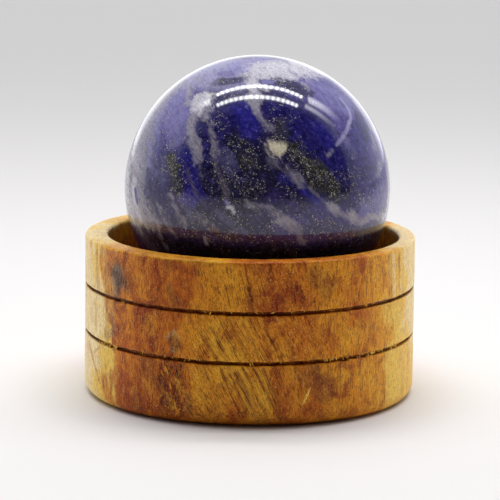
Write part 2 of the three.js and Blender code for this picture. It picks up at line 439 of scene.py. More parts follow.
def make_ball():
    mesh, directions = sphere_mesh("lapis_ball", DIVISIONS)
    places = directions * (BALL_RADIUS / MM)
    shift = [noise_at(places, 0.15, seed, 4, 0.65) for seed in (10, 20, 30)]
    ragged = directions + np.stack(shift, 1) * WANDER
    ragged /= np.linalg.norm(ragged, axis=1)[:, None]

    turn = np.array(Matrix.Rotation(radians(LAYER_TURN), 3, "Y"))
    drift = noise_at(places @ turn.T * (0.5, 0.5, 1.3), 0.12, 40, 3)
    paint = blend(linear(NAVY), linear(PLUM), smooth(-0.3, 0.3, drift))
    calcite, cover = paint.copy(), np.zeros(len(paint))
    for shade, strength, half, *path in hidden_strokes() + STROKES:
        where = directions if half < SMALL_MARK else ragged
        if shade in CALCITE:
            near = strength * reach(where, half, path, *FEATHER)
            calcite = blend(calcite, linear(shade), smooth(0.1, 0.5, near))
            cover = np.maximum(cover, near)
        else:
            near = strength * reach(where, half, path)
            paint = blend(paint, linear(shade), near)
            cover = cover * (1 - near)
    give_colour(mesh, "paint", paint)
    give_colour(mesh, "calcite", calcite)
    give_attribute(mesh, "cover", cover)

    more = smooth(-0.1, 0.5, noise_at(places, 0.16, 50, 3))
    specks = FEWEST_SPECKS + MORE_SPECKS * more
    for density, half, *path in PYRITE:
        specks = np.maximum(specks, density * reach(ragged, half, path, *FEATHER))
    for clear, half, *path in CLEAR:
        specks = specks * (1 - clear * reach(ragged, half, path))
    give_attribute(mesh, "pyrite", specks)

    centred = places * MM + np.array(BALL_CENTRE)
    mesh.vertices.foreach_set("co", centred.ravel())
    mesh.shade_smooth()
    return add_object("lapis_ball", mesh)


def lapis_material():
    t = Tree.of_material("polished_lapis_lazuli")
    place = t.place_mm()
    layered = t.turned(place, LAYER_TURN)
    streak = t.noise(t.scaled(layered, (0.4, 0.4, 1.6)), 1.0, 4, 0.66, 0.5)
    fine_streak = t.noise(t.scaled(layered, (0.9, 0.9, 3.6)), 1.0, 4, 0.7, 0.6)
    mottle = t.noise(place, 0.95, 5, 0.66, 0.6)
    crystal = t.noise(place, 2.3, 3, 0.66, 0.5)
    density = t.attribute("pyrite")
    paint = t.attribute("paint", "Color")
    cover = t.attribute("cover")

    def swing(value, size):
        return t.times(t.minus(value, 0.5), size)

    # The calcite's edges are torn along the layers.
    wisp = t.noise(t.scaled(layered, (0.35, 0.35, 0.9)), 1.0, 5, 0.62, 0.8)
    torn = t.plus(swing(wisp, 1.5), t.plus(swing(mottle, 0.6), swing(fine_streak, 0.8)))
    torn = t.plus(cover, torn)
    calcite = t.times(t.step(torn, 0.18, 0.88), t.step(cover, 0.04, 0.35))
    calcite = t.times(calcite, t.step(cover, 0.3, 0.95, 0.85, 1.0))
    blue = t.step(t.vector_math("DOT_PRODUCT", paint, (0.3, 0.6, 0.1), "Value"), 0.30, 0.08)
    blue = t.times(blue, t.minus(1.0, calcite))

    # The blue is mottled at the scale of its crystals; the calcite is cloudy along its layers.
    lighter = t.mix(1.0, paint, (82, 72, 150), "SCREEN")
    ground = t.mix(t.times(blue, t.step(mottle, 0.52, 0.66, 0.0, 0.45)), paint, lighter)
    shade = t.times(blue, t.step(mottle, 0.50, 0.36, 0.0, 0.75))
    ground = t.mix(shade, ground, (122, 116, 156), "MULTIPLY")
    cloud = t.mix(t.step(crystal, 0.56, 0.40, 0.0, 0.4), t.attribute("calcite", "Color"),
                  (168, 164, 190), "MULTIPLY")
    ground = t.mix(calcite, ground, cloud)
    ground = t.mix(t.step(streak, 0.52, 0.34, 0.0, 0.5), ground, (150, 144, 184), "MULTIPLY")
    paler = t.times(t.step(streak, 0.54, 0.72, 0.0, 0.24), t.step(blue, 1.0, 0.4, 0.25, 1.0))
    ground = t.mix(paler, ground, (190, 186, 206))

    # Pyrite in clusters: black and olive crystals between golden and cream ones.
    cluster = t.plus(density, t.plus(swing(mottle, 2.4), swing(wisp, 2.6)))
    cluster = t.step(cluster, 0.46, 0.82)
    black = t.times(t.times(cluster, blue), t.step(crystal, 0.52, 0.42))
    ground = t.mix(t.times(black, 0.58), ground, (22, 21, 30))
    olive = t.times(cluster, t.step(crystal, 0.54, 0.62))
    ground = t.mix(t.times(olive, 0.5), ground, (108, 106, 88))

    jitter = t.scaled(t.noise(place, 3.0, 2, output="Color"), (0.4, 0.4, 0.4))
    warped = t.vector_math("ADD", place, jitter)
    crowd = t.plus(t.times(density, 0.35), t.times(cluster, 0.65))
    clump = t.noise(place, 1.5, 2, 0.6)
    crowd = t.times(crowd, t.step(clump, 0.38, 0.62, 0.15, 1.25))

    def specks(scale, size, share):
        distance = t.cells(warped, scale)
        luck, tone, _ = t.split(t.cells(warped, scale, "Color"))
        chosen = t.math("LESS_THAN", luck, t.times(crowd, share))
        spot = t.times(chosen, t.step(distance, size, 0.5 * size))
        return t.times(spot, t.step(tone, 0.15, 1.25, 0.1, 1.0))

    gold = t.math("MAXIMUM", specks(3.3, 0.52, 0.8), specks(1.9, 0.38, 0.3))
    tint = t.mix(t.step(t.noise(place, 0.8), 0.42, 0.58), (216, 206, 156), (240, 236, 222))
    ground = t.mix(gold, ground, tint)

    rough = t.step(gold, 0.0, 1.0, 0.055, 0.16)
    normal = t.bump(t.times(gold, -0.5), 0.1, 0.00004)
    return t.surface({"Base Color": ground, "Roughness": rough, "IOR": 1.54, "Normal": normal})


# --- The stand ---

# The turned shape, in mm. The sides flare slightly from the rim down to the base.
BASE_RADIUS = STAND_HIGH.x / MM
HEIGHT = STAND_HIGH.z / MM
RIM_RADIUS, RIM_ROUND = 37.4, 0.6
FOOT_ROUND, FOOT_ROUND_FRONT = 2.6, 5.0
# The grooves' heights, half width and depth, and the rounding of their lips.
GROOVES = (14.3, 25.0)
GROOVE_HALF, GROOVE_DEPTH, LIP = 0.42, 1.3, 0.22
# The hollow, and the scoop in its floor that the ball rests in.
CUP_RADIUS, CUP_OFFSET, CUP_FLOOR, CUP_CORNER, LIP_ROUND = 33.0, 0.7, 18.0, 8.0, 0.7
SEAT_RADIUS, SEAT_BOTTOM = 31.0, 16.0
# Points round the front half and the back half.
FRONT_TURNS, BACK_TURNS = 400, 200
TURNS = FRONT_TURNS + BACK_TURNS

# The wood's colours, as sRGB of 0 to 255.
GOLD = (240, 164, 30)
TAN = (224, 134, 16)
ORANGE = (204, 104, 8)
RUSSET = (168, 68, 6)
UMBER = (128, 48, 10)
DUSK = (150, 84, 30)
PURPLE = (100, 54, 40)
HONEY = (252, 190, 48)
YELLOW = (254, 216, 96)
SAPWOOD_AND_SIDE_LIGHT = (255, 238, 186)
FAWN = (216, 160, 84)
KNOT = (118, 102, 94)
ASH = (200, 168, 120)
CRACK = (130, 84, 44)
# Painted light inside the hollow: a bright gold near its lip and a bright brown below it.
CUP_TOP_PAINTED_LIGHT = (250, 176, 20)
CUP_WALL_PAINTED_LIGHT = (220, 124, 12)
SHADOW = (70, 30, 8)

# Strokes over the stand's side, as on the ball, but with heights in mm in place of latitudes.
WOOD_STROKES = [
    # Pale sapwood at both sides, and painted side light: the bands grow paler towards each side's
    # edge.
    (YELLOW, 0.7, 11, (-105, 36), (-160, 38)), (YELLOW, 0.6, 10, (100, 36), (160, 38)),
    (GOLD, 0.7, 27, (84, 36), (82, 0)), (HONEY, 0.35, 23, (83, 36), (81, 0)),
    (HONEY, 0.4, 20.5, (81, 36), (84, 0)), (YELLOW, 0.45, 18.5, (81, 36), (83, 0)),
    (YELLOW, 0.6, 16, (83, 36), (84, 0)), (SAPWOOD_AND_SIDE_LIGHT, 0.7, 14.5, (84, 36), (86, 26)),
    (YELLOW, 1, 18, (-81, 36), (-84, 27)), (SAPWOOD_AND_SIDE_LIGHT, 0.8, 15, (-82, 36), (-84, 25)),
    (YELLOW, 1, 18, (-84, 24), (-82, 22)), (YELLOW, 1, 18, (-80, 18), (-79, 8)),
    (YELLOW, 1, 18, (-83, 6), (-81, 0)), (SAPWOOD_AND_SIDE_LIGHT, 0.8, 14, (-82, 24), (-80, 16)),
    (SAPWOOD_AND_SIDE_LIGHT, 0.5, 11, (-82, 14), (-82, 0)), (SAPWOOD_AND_SIDE_LIGHT, 0.6, 1.6, (-58, 22.5), (-59, 19)),
    (FAWN, 0.8, 2, (-58, 35), (-56, 28), (-54, 26)), (TAN, 0.7, 1.6, (-54, 36), (-53, 31)),
    (FAWN, 0.6, 0.8, (-64, 34), (-62, 26)), (TAN, 0.5, 0.7, (-60, 33), (-59, 29)),
    (ASH, 0.7, 1.2, (-52, 18), (-56, 16.5)), (TAN, 0.6, 1, (-52, 24), (-53, 21)),
    (YELLOW, 0.7, 1.8, (-50, 13), (-50, 9)), (TAN, 0.7, 1.5, (-57, 6), (-54, 2)),
    (ORANGE, 0.5, 1.3, (-56, 24), (-54, 21)),
    # The top band.
    (ORANGE, 0.8, 5, (-43, 36), (-41, 26)), (TAN, 0.7, 1.8, (-43, 33), (-41, 31)),
    (RUSSET, 0.7, 4, (-33, 35), (-30, 27)), (TAN, 0.8, 1.4, (-40, 30), (-37, 26.5)),
    (TAN, 0.7, 1.2, (-29, 29), (-26, 27)), (ORANGE, 0.8, 2.8, (-25, 36), (-22, 28)),
    (RUSSET, 0.8, 1, (-33, 34.5), (-31, 33.5)), (RUSSET, 0.9, 0.9, (-27.5, 35), (-25.5, 34)),
    (UMBER, 0.8, 0.6, (-17.5, 34), (-16.5, 33)), (RUSSET, 0.5, 1, (-22, 31), (-20, 30)),
    (DUSK, 0.6, 1.3, (-27, 29), (-24, 26.5)), (GOLD, 0.8, 3.2, (-13, 34), (-8, 28)),
    (GOLD, 0.7, 1.5, (-4, 33), (-2, 28)), (RUSSET, 0.85, 2.2, (3, 36), (8, 26)),
    (RUSSET, 0.5, 1.8, (0, 27), (3, 26)), (ORANGE, 0.6, 3.5, (10, 35), (18, 27)),
    (RUSSET, 0.5, 1.5, (14, 30), (18, 27)), (DUSK, 0.45, 2, (22, 33), (26, 30)),
    (GOLD, 0.6, 2.5, (35, 34), (40, 27)), (HONEY, 0.5, 2.2, (44, 34), (46, 27)),
    (SAPWOOD_AND_SIDE_LIGHT, 0.55, 0.6, (56, 35), (57, 26)), (FAWN, 0.6, 0.5, (60, 35), (61, 27)),
    (FAWN, 0.5, 0.4, (53, 35), (54, 27)), (YELLOW, 0.8, 1.6, (64, 30), (67, 27)),
    # Painted highlight: a thin bright line along the rim's outer front edge, honey at the left and
    # orange at the right.
    (HONEY, 0.7, 0.5, (-60, 36), (-30, 36), (-8, 36)), (ORANGE, 0.8, 0.5, (-6, 36), (30, 36)),
    # The knot and what runs down from it.
    (DUSK, 0.75, 3.5, (-48.8, 30.5), (-48.3, 27.4)), (KNOT, 0.95, 2.4, (-49.4, 30), (-48.9, 27.9)),
    (UMBER, 0.5, 0.7, (-46, 30.6), (-45.6, 28)), (ASH, 0.8, 0.9, (-52, 28.5), (-51, 26.5)),
    (PURPLE, 0.5, 0.8, (-47.4, 29.4), (-47, 28.6)),
    (PURPLE, 0.55, 1.1, (-49.5, 24), (-48, 21), (-47, 18.5)), (ASH, 0.6, 1, (-53, 23), (-51, 19)),
    (RUSSET, 0.25, 2.6, (-42, 36), (-40, 14)),
    # The middle band.
    (TAN, 0.8, 3.4, (-46, 24), (-44, 15)), (TAN, 0.7, 1.5, (-38, 17), (-36, 15.5)),
    (RUSSET, 0.9, 2.6, (-37, 24), (-34, 20)), (RUSSET, 0.7, 2.4, (-35, 20), (-31, 16)),
    (RUSSET, 0.6, 1.5, (-33, 24), (-30, 20)), (UMBER, 0.95, 1, (-36, 22.2), (-34.4, 21)),
    (ORANGE, 0.6, 2.5, (-26, 23), (-24, 15)), (PURPLE, 0.75, 1.25, (-25, 18.4), (-24, 17.6)),
    (ASH, 0.6, 0.45, (-27.3, 19), (-25, 20.2), (-22.6, 19.4)),
    (KNOT, 0.9, 0.5, (-25.3, 16.5), (-24.8, 16)), (GOLD, 0.75, 4.4, (-15, 23), (-8, 16)),
    (HONEY, 0.5, 1.5, (-11, 20), (-8, 16)), (GOLD, 0.7, 2.6, (1, 23), (7, 16)),
    (HONEY, 0.4, 1.3, (0, 23.5), (4, 20)), (UMBER, 0.7, 0.5, (15.5, 21.6), (16.5, 20.5)),
    (UMBER, 0.7, 0.6, (26, 21), (27, 20)), (UMBER, 0.5, 0.5, (24, 16.4), (24.5, 15.4)),
    (ORANGE, 0.6, 1.8, (14, 22), (18, 16)), (ORANGE, 0.55, 2.4, (19, 22), (27, 17)),
    (ORANGE, 0.6, 1, (40, 20), (43, 18)), (HONEY, 0.5, 2.4, (34, 18), (48, 22)),
    (YELLOW, 0.6, 2.4, (56, 22), (62, 17)),
    # The lowest band, with its burl.
    (ORANGE, 0.9, 5.8, (-42, 13), (-39, 3)), (TAN, 0.8, 2.4, (-46, 12), (-40, 10)),
    (UMBER, 0.5, 1.8, (-44, 6), (-41, 4)), (ORANGE, 0.8, 3, (-47, 6), (-45, 1)),
    (RUSSET, 0.65, 2, (-42, 6), (-38, 3)), (RUSSET, 0.7, 0.9, (-37, 4), (-35, 3)),
    (DUSK, 0.6, 2.2, (-36, 13), (-33, 8)), (RUSSET, 0.85, 3.2, (-27, 13), (-25, 3)),
    (UMBER, 0.8, 1.1, (-30, 10), (-28, 7), (-28, 4)),
    (UMBER, 0.85, 0.8, (-23, 13), (-24, 8), (-22, 3)), (PURPLE, 0.7, 0.9, (-20, 7), (-19, 3)),
    (HONEY, 0.7, 0.8, (-23.4, 9.6), (-22.6, 8.4)), (HONEY, 0.7, 0.6, (-26.5, 6), (-26, 4)),
    (GOLD, 0.9, 3.4, (-12, 13), (-12, 3)), (HONEY, 0.55, 1.6, (-16, 12), (-15, 6)),
    (GOLD, 0.8, 2.6, (-2, 13), (3, 3)), (HONEY, 0.6, 1.5, (3, 12), (6, 7)),
    (RUSSET, 0.5, 1.2, (10, 5), (13, 1)), (ORANGE, 0.6, 2, (10, 12), (14, 2)),
    (DUSK, 0.6, 2.6, (21, 11), (27, 7)), (UMBER, 0.45, 0.7, (15.5, 13), (16.5, 12)),
    (UMBER, 0.35, 3.4, (-48, 0), (-15, 0.5), (32, 0)), (RUSSET, 0.4, 3, (-49, 7), (-46, 1)),
    (RUSSET, 0.65, 0.7, (27, 9), (29, 6.6), (33, 6.6), (35, 9.5)),
    (RUSSET, 0.5, 0.5, (30, 12.6), (39, 12.6)), (HONEY, 0.5, 1.3, (31, 10), (33, 11)),
    (HONEY, 0.6, 2.2, (42, 11), (47, 4)), (YELLOW, 0.7, 2.6, (56, 13), (58, 4)),
    (HONEY, 0.75, 2.8, (-13, 19.5), (-5, 15.5)), (HONEY, 0.75, 2.8, (-6, 12), (2, 6)),
    (HONEY, 0.4, 2, (0, 22), (6, 16)),
    # Dark streaks that lean with the grain.
    (UMBER, 0.55, 0.26, (-2, 13.4), (7.5, 1)), (UMBER, 0.55, 0.26, (1.7, 13.4), (11, 1.5)),
    (UMBER, 0.5, 0.26, (6, 11), (13, 1.5)), (UMBER, 0.5, 0.22, (0, 9), (6, 0.8)),
    (UMBER, 0.55, 0.22, (-6, 12), (0, 3)), (UMBER, 0.5, 0.22, (-9, 13), (-4, 6)),
    (UMBER, 0.5, 0.22, (4, 13.3), (9, 6.5)), (UMBER, 0.5, 0.22, (-14, 12), (-9, 5)),
    (DUSK, 0.6, 0.6, (-4, 12), (4, 1)), (UMBER, 0.55, 0.26, (-2, 23.5), (3.5, 15.3)),
    (ORANGE, 0.6, 0.8, (1, 24), (7, 15)), (RUSSET, 0.7, 0.4, (9.4, 22.5), (14.7, 16.5)),
    (UMBER, 0.55, 0.22, (-16, 20.5), (-10.5, 15.5)), (UMBER, 0.55, 0.22, (-9, 23), (-4, 16.5)),
    (UMBER, 0.5, 0.22, (-6, 23.5), (-1, 16)), (UMBER, 0.5, 0.22, (-12.5, 22), (-8, 17)),
    # Cracks in the sapwood.
    (CRACK, 0.8, 0.22, (-71, 12), (-66, 9), (-61, 5)), (CRACK, 0.6, 0.22, (-61, 13), (-66, 11)),
    (FAWN, 0.7, 0.5, (-72, 12.5), (-67, 9.5)),
]

# The burl's path over the side, and how far from it the burl ends and is full.
BURL = [(-26, 13), (-25, 2)]
BURL_ENDS, BURL_FULL = 4.6, 2.2
FIBRE_SEED = 11

# Relief in mm: the lips' waver, the burl's roughness and its hollow, and a slow swell.
LIP_WAVER, BURL_ROUGH, BURL_HOLLOW, SWELL = 0.14, 0.24, 0.08, 0.05

# Frayed lips: (groove, 1 above it or -1 below, from longitude, to longitude, fibres).
FRAYED = [(14.3, 1, 25, 63, 60), (14.3, -1, 30, 62, 16), (14.3, 1, -61, -49, 14),
          (14.3, -1, -61, -49, 12), (25, 1, 41, 46, 6), (25, -1, -48, -44, 5),
          (25, 1, -20, 30, 10), (14.3, 1, -45, 20, 12), (14.3, -1, 100, 250, 30)]

# Splinters that lie on the side: (from, to, width, colour).
SPLINTERS = [((20.6, 9.2), (17.4, 4.8), 0.8, YELLOW), ((-28.2, 12.8), (-27, 11), 0.45, YELLOW),
             ((-29.6, 11.6), (-28.6, 10.2), 0.35, HONEY), ((-24.6, 5.4), (-24, 3.4), 0.4, HONEY),
             ((-26.4, 9.4), (-25.8, 7.6), 0.35, HONEY), ((18.6, 10.4), (17.6, 8.6), 0.25, HONEY)]


def side_radius(height):
    return BASE_RADIUS + (RIM_RADIUS - BASE_RADIUS) * height / HEIGHT


def arc(x, y, radius, start, end, steps):
    angles = np.radians(np.linspace(start, end, steps + 1))
    return np.stack([x + radius * np.cos(angles), y + radius * np.sin(angles)], 1)


def straight(a, b, steps):
    """Points after a, up to and with b."""
    share = np.linspace(0, 1, steps + 1)[1:, None]
    return np.array(a) + share * (np.array(b) - np.array(a))


def groove(height):
    outer, half, lip = side_radius(height), GROOVE_HALF, LIP
    inner = outer - GROOVE_DEPTH
    return np.concatenate([
        [[outer, height - half - lip]],
        arc(outer - lip, height - half - lip, lip, 0, 90, 4)[1:],
        straight((outer - lip, height - half), (inner, height - half), 3),
        straight((inner, height - half), (inner, height + half), 2),
        straight((inner, height + half), (outer - lip, height + half), 3),
        arc(outer - lip, height + half + lip, lip, -90, 0, 4)[1:],
    ])


def outer_profile():
    """The stand's outside, from the middle of the underside to the cup's lip, in mm."""
    corner = BASE_RADIUS - FOOT_ROUND
    parts = [straight((0.0, 0.0), (corner, 0.0), 6)[:-1],
             arc(corner, FOOT_ROUND, FOOT_ROUND, -90, 0, 10)]
    for height in GROOVES:
        start = parts[-1][-1]
        cut = groove(height)
        parts += [straight(start, cut[0], 20)[:-1], cut]
    start = parts[-1][-1]
    top = arc(RIM_RADIUS - RIM_ROUND, HEIGHT - RIM_ROUND, RIM_ROUND, 0, 90, 6)
    parts += [straight(start, top[0], 22)[:-1], top]
    return np.concatenate(parts)


def inner_profile():
    """The hollow, from its lip down to the middle of its floor, about the cup's own axis."""
    lip = arc(CUP_RADIUS + LIP_ROUND, HEIGHT - LIP_ROUND, LIP_ROUND, 90, 180, 6)
    wall_foot = (CUP_RADIUS, CUP_FLOOR + CUP_CORNER)
    corner = arc(CUP_RADIUS - CUP_CORNER, CUP_FLOOR + CUP_CORNER, CUP_CORNER, 0, -90, 8)[1:]
    seat_edge = sqrt(SEAT_RADIUS ** 2 - (SEAT_RADIUS - CUP_FLOOR + SEAT_BOTTOM) ** 2)
    return np.concatenate([lip, straight(lip[-1], wall_foot, 12), corner,
                           straight(corner[-1], (seat_edge, CUP_FLOOR), 4),
                           straight((seat_edge, CUP_FLOOR), (0.3, CUP_FLOOR), 6)])


def foot_rounding(longitude):
    front = np.clip(np.cos(longitude), 0, 1) ** 4
    return FOOT_ROUND + (FOOT_ROUND_FRONT - FOOT_ROUND) * front


def longitudes():
    """The lathe's angles, closer together over the front half."""
    front = np.linspace(-pi / 2, pi / 2, FRONT_TURNS, endpoint=False)
    back = np.linspace(pi / 2, 3 * pi / 2, BACK_TURNS, endpoint=False)
    return np.concatenate([front, back])


def outer_rings(longitude):
    rings = []
    foot = foot_rounding(longitude)
    first_lip = GROOVES[0] - GROOVE_HALF - LIP
    for radius, height in outer_profile()[1:]:
        on_foot = height <= FOOT_ROUND and radius >= BASE_RADIUS - FOOT_ROUND - 0.01
        r, z = np.full(TURNS, radius), np.full(TURNS, height)
        if on_foot:
            r = BASE_RADIUS + (radius - BASE_RADIUS) * foot / FOOT_ROUND
            z = height * foot / FOOT_ROUND
        elif height == 0:
            r = radius * (BASE_RADIUS - foot) / (BASE_RADIUS - FOOT_ROUND)
        elif height < first_lip:
            z = foot + (height - FOOT_ROUND) * (first_lip - foot) / (first_lip - FOOT_ROUND)
        rings.append(np.stack([r * np.sin(longitude), -r * np.cos(longitude), z], 1))
    return rings


def inner_rings(longitude):
    rings = []
    ball_x = BALL_CENTRE.x / MM
    for radius, height in inner_profile():
        x = CUP_OFFSET + radius * np.sin(longitude)
        y = -radius * np.cos(longitude)
        z = np.full(TURNS, height)
        if height <= CUP_FLOOR + 0.001:
            drop = np.sqrt(SEAT_RADIUS ** 2 - (x - ball_x) ** 2 - y ** 2)
            z = np.minimum(z, SEAT_BOTTOM + SEAT_RADIUS - drop)
        rings.append(np.stack([x, y, z], 1))
    return rings


def unrolled(points):
    """Places on the side in mm: along it from the front, and up."""
    longitude = np.arctan2(points[:, 0], -points[:, 1])
    return np.stack([longitude * BASE_RADIUS, points[:, 2]], 1)


def worn(points, outside, burl):
    """The side's points, with uneven groove lips and a rough burl."""
    points = points.copy()
    radius = np.maximum(np.hypot(points[:, 0], points[:, 1]), 1)
    around = points[:, :2] / radius[:, None] * BASE_RADIUS
    for height in GROOVES:
        above = points[:, 2] - height
        near = smooth(1.0, 0.5, np.abs(above)) * outside
        level = np.where(above > 0, height + 40, height - 40)
        wave = noise_at(np.column_stack([around, level]), 0.5, 60, 4, 0.75)
        points[:, 2] += near * LIP_WAVER * wave
    rough = noise_at(points * (1, 1, 0.45), 0.9, 70, 3, 0.7)
    swell = noise_at(points, 0.12, 80, 2)
    push = (BURL_ROUGH * burl * rough - BURL_HOLLOW * burl + SWELL * swell) * outside
    push *= smooth(0.0, 1.0, points[:, 2]) * smooth(HEIGHT, HEIGHT - 1, points[:, 2])
    points[:, :2] *= (1 + push / radius)[:, None]
    return points


def on_side(path):
    return [np.array([BASE_RADIUS * radians(longitude), height]) for longitude, height in path]


def paint_wood(points, outside):
    where = unrolled(points)
    shift = [noise_at(points * (1, 1, 0.5), 0.3, seed, 4, 0.6) for seed in (90, 94)]
    shift = np.stack(shift, 1) * (0.8, 1.2)
    drift = noise_at(points * (1, 1, 0.25), 0.11, 98, 3)
    paint = blend(linear(ORANGE), linear(TAN), smooth(-0.35, 0.05, drift))
    paint = blend(paint, linear(GOLD), 0.8 * smooth(0.0, 0.4, drift))
    for shade, strength, half, *path in WOOD_STROKES:
        soft = min(0.35 * half, 1.4)
        place = where + shift * min(half, 8.0)
        gap = distance_to_path(place, on_side(path))
        cover = strength * smooth(half + soft, half - soft, gap)
        paint = blend(paint, linear(shade), cover)
    # Painted shade: inside the grooves the wood is painted darker, with umber.
    radius = np.hypot(points[:, 0], points[:, 1])
    painted_groove_shade = smooth(0.15, 0.5, side_radius(points[:, 2]) - radius) * outside
    painted_groove_shade *= np.max([np.abs(points[:, 2] - height) < 1 for height in GROOVES], axis=0)
    paint = blend(paint, linear(UMBER), 0.8 * painted_groove_shade)
    # Painted light: inside the hollow the wall is painted bright gold near the lip and bright brown
    # lower down.
    depth = HEIGHT - points[:, 2] + 2.0 * noise_at(points, 0.4, 110, 3)
    inside = 1 - outside
    paint = blend(paint, linear(CUP_TOP_PAINTED_LIGHT), inside * smooth(0.3, 1.2, depth))
    paint = blend(paint, linear(CUP_WALL_PAINTED_LIGHT), inside * smooth(3.0, 5.5, depth))
    # Painted shade: the hollow's wall is painted dark deep down, and from a shallow depth on its
    # front wall, which the ball mirrors.
    front = smooth(-12, -26, points[:, 1])
    dark = np.maximum(0.9 * front * smooth(0.8, 2.5, depth), 0.5 * smooth(7.0, 13.0, depth))
    return blend(paint, linear(SHADOW), inside * dark)


def sliver(start, end, width, thickness, lift=0.0):
    """A closed splinter over the side between two places of longitude and height."""
    steps, sides = 6, 6
    a, b = on_side((start, end))
    along = (b - a) / np.linalg.norm(b - a)
    across = np.array([-along[1], along[0]])
    turns = np.linspace(0, 2 * pi, sides, endpoint=False)
    rings = []
    for share in np.linspace(0, 1, steps):
        girth = 0.15 + 0.85 * sin(pi * share) ** 0.7
        flat = a + (b - a) * share + np.outer(np.cos(turns) * girth * width / 2, across)
        out = side_radius(flat[:, 1]) + lift * sin(pi * share)
        out = out + np.sin(turns) * girth * thickness / 2
        angle = flat[:, 0] / BASE_RADIUS
        rings.append(np.stack([out * np.sin(angle), -out * np.cos(angle), flat[:, 1]], 1))
    return np.concatenate(rings), tube_faces(steps, sides)


def splinters():
    """All the loose fibres: their points, faces and colours."""
    rng = np.random.default_rng(FIBRE_SEED)
    pieces = [(*sliver(start, end, width, 0.3), shade) for start, end, width, shade in SPLINTERS]
    for height, side, low, high, count in FRAYED:
        for _ in range(count):
            longitude = rng.uniform(low, high)
            foot = height + side * (GROOVE_HALF + rng.uniform(0.0, 0.25))
            length = rng.uniform(0.3, 1.0)
            lean = radians(rng.uniform(20, 160))
            tip = (longitude + degrees(length * cos(lean) / BASE_RADIUS),
                   foot - side * length * sin(lean))
            width = rng.uniform(0.14, 0.28)
            shade = (YELLOW, HONEY, GOLD)[rng.integers(3)]
            pieces.append((*sliver((longitude, foot), tip, width, 0.12, 0.05), shade))
    return pieces


def make_stand():
    longitude = longitudes()
    outer, inner = outer_rings(longitude), inner_rings(longitude)
    points = np.concatenate(outer + inner)
    outside = np.repeat([1.0, 0.0], [len(outer) * TURNS, len(inner) * TURNS])
    burl = outside * smooth(BURL_ENDS, BURL_FULL, distance_to_path(unrolled(points), on_side(BURL)))
    points = worn(points, outside, burl)
    paint = paint_wood(points, outside)

    faces = tube_faces(len(outer) + len(inner), TURNS)
    for places, sides, shade in splinters():
        first = len(points)
        points = np.concatenate([points, places])
        paint = np.concatenate([paint, np.tile(linear(shade), (len(places), 1))])
        burl = np.concatenate([burl, np.zeros(len(places))])
        faces += [[first + corner for corner in side] for side in sides]

    mesh = bpy.data.meshes.new("turned_stand")
    mesh.from_pydata((points * MM).tolist(), [], faces)
    mesh.shade_smooth()
    give_colour(mesh, "paint", paint)
    give_attribute(mesh, "burl", burl)
    return add_object("turned_stand", mesh)


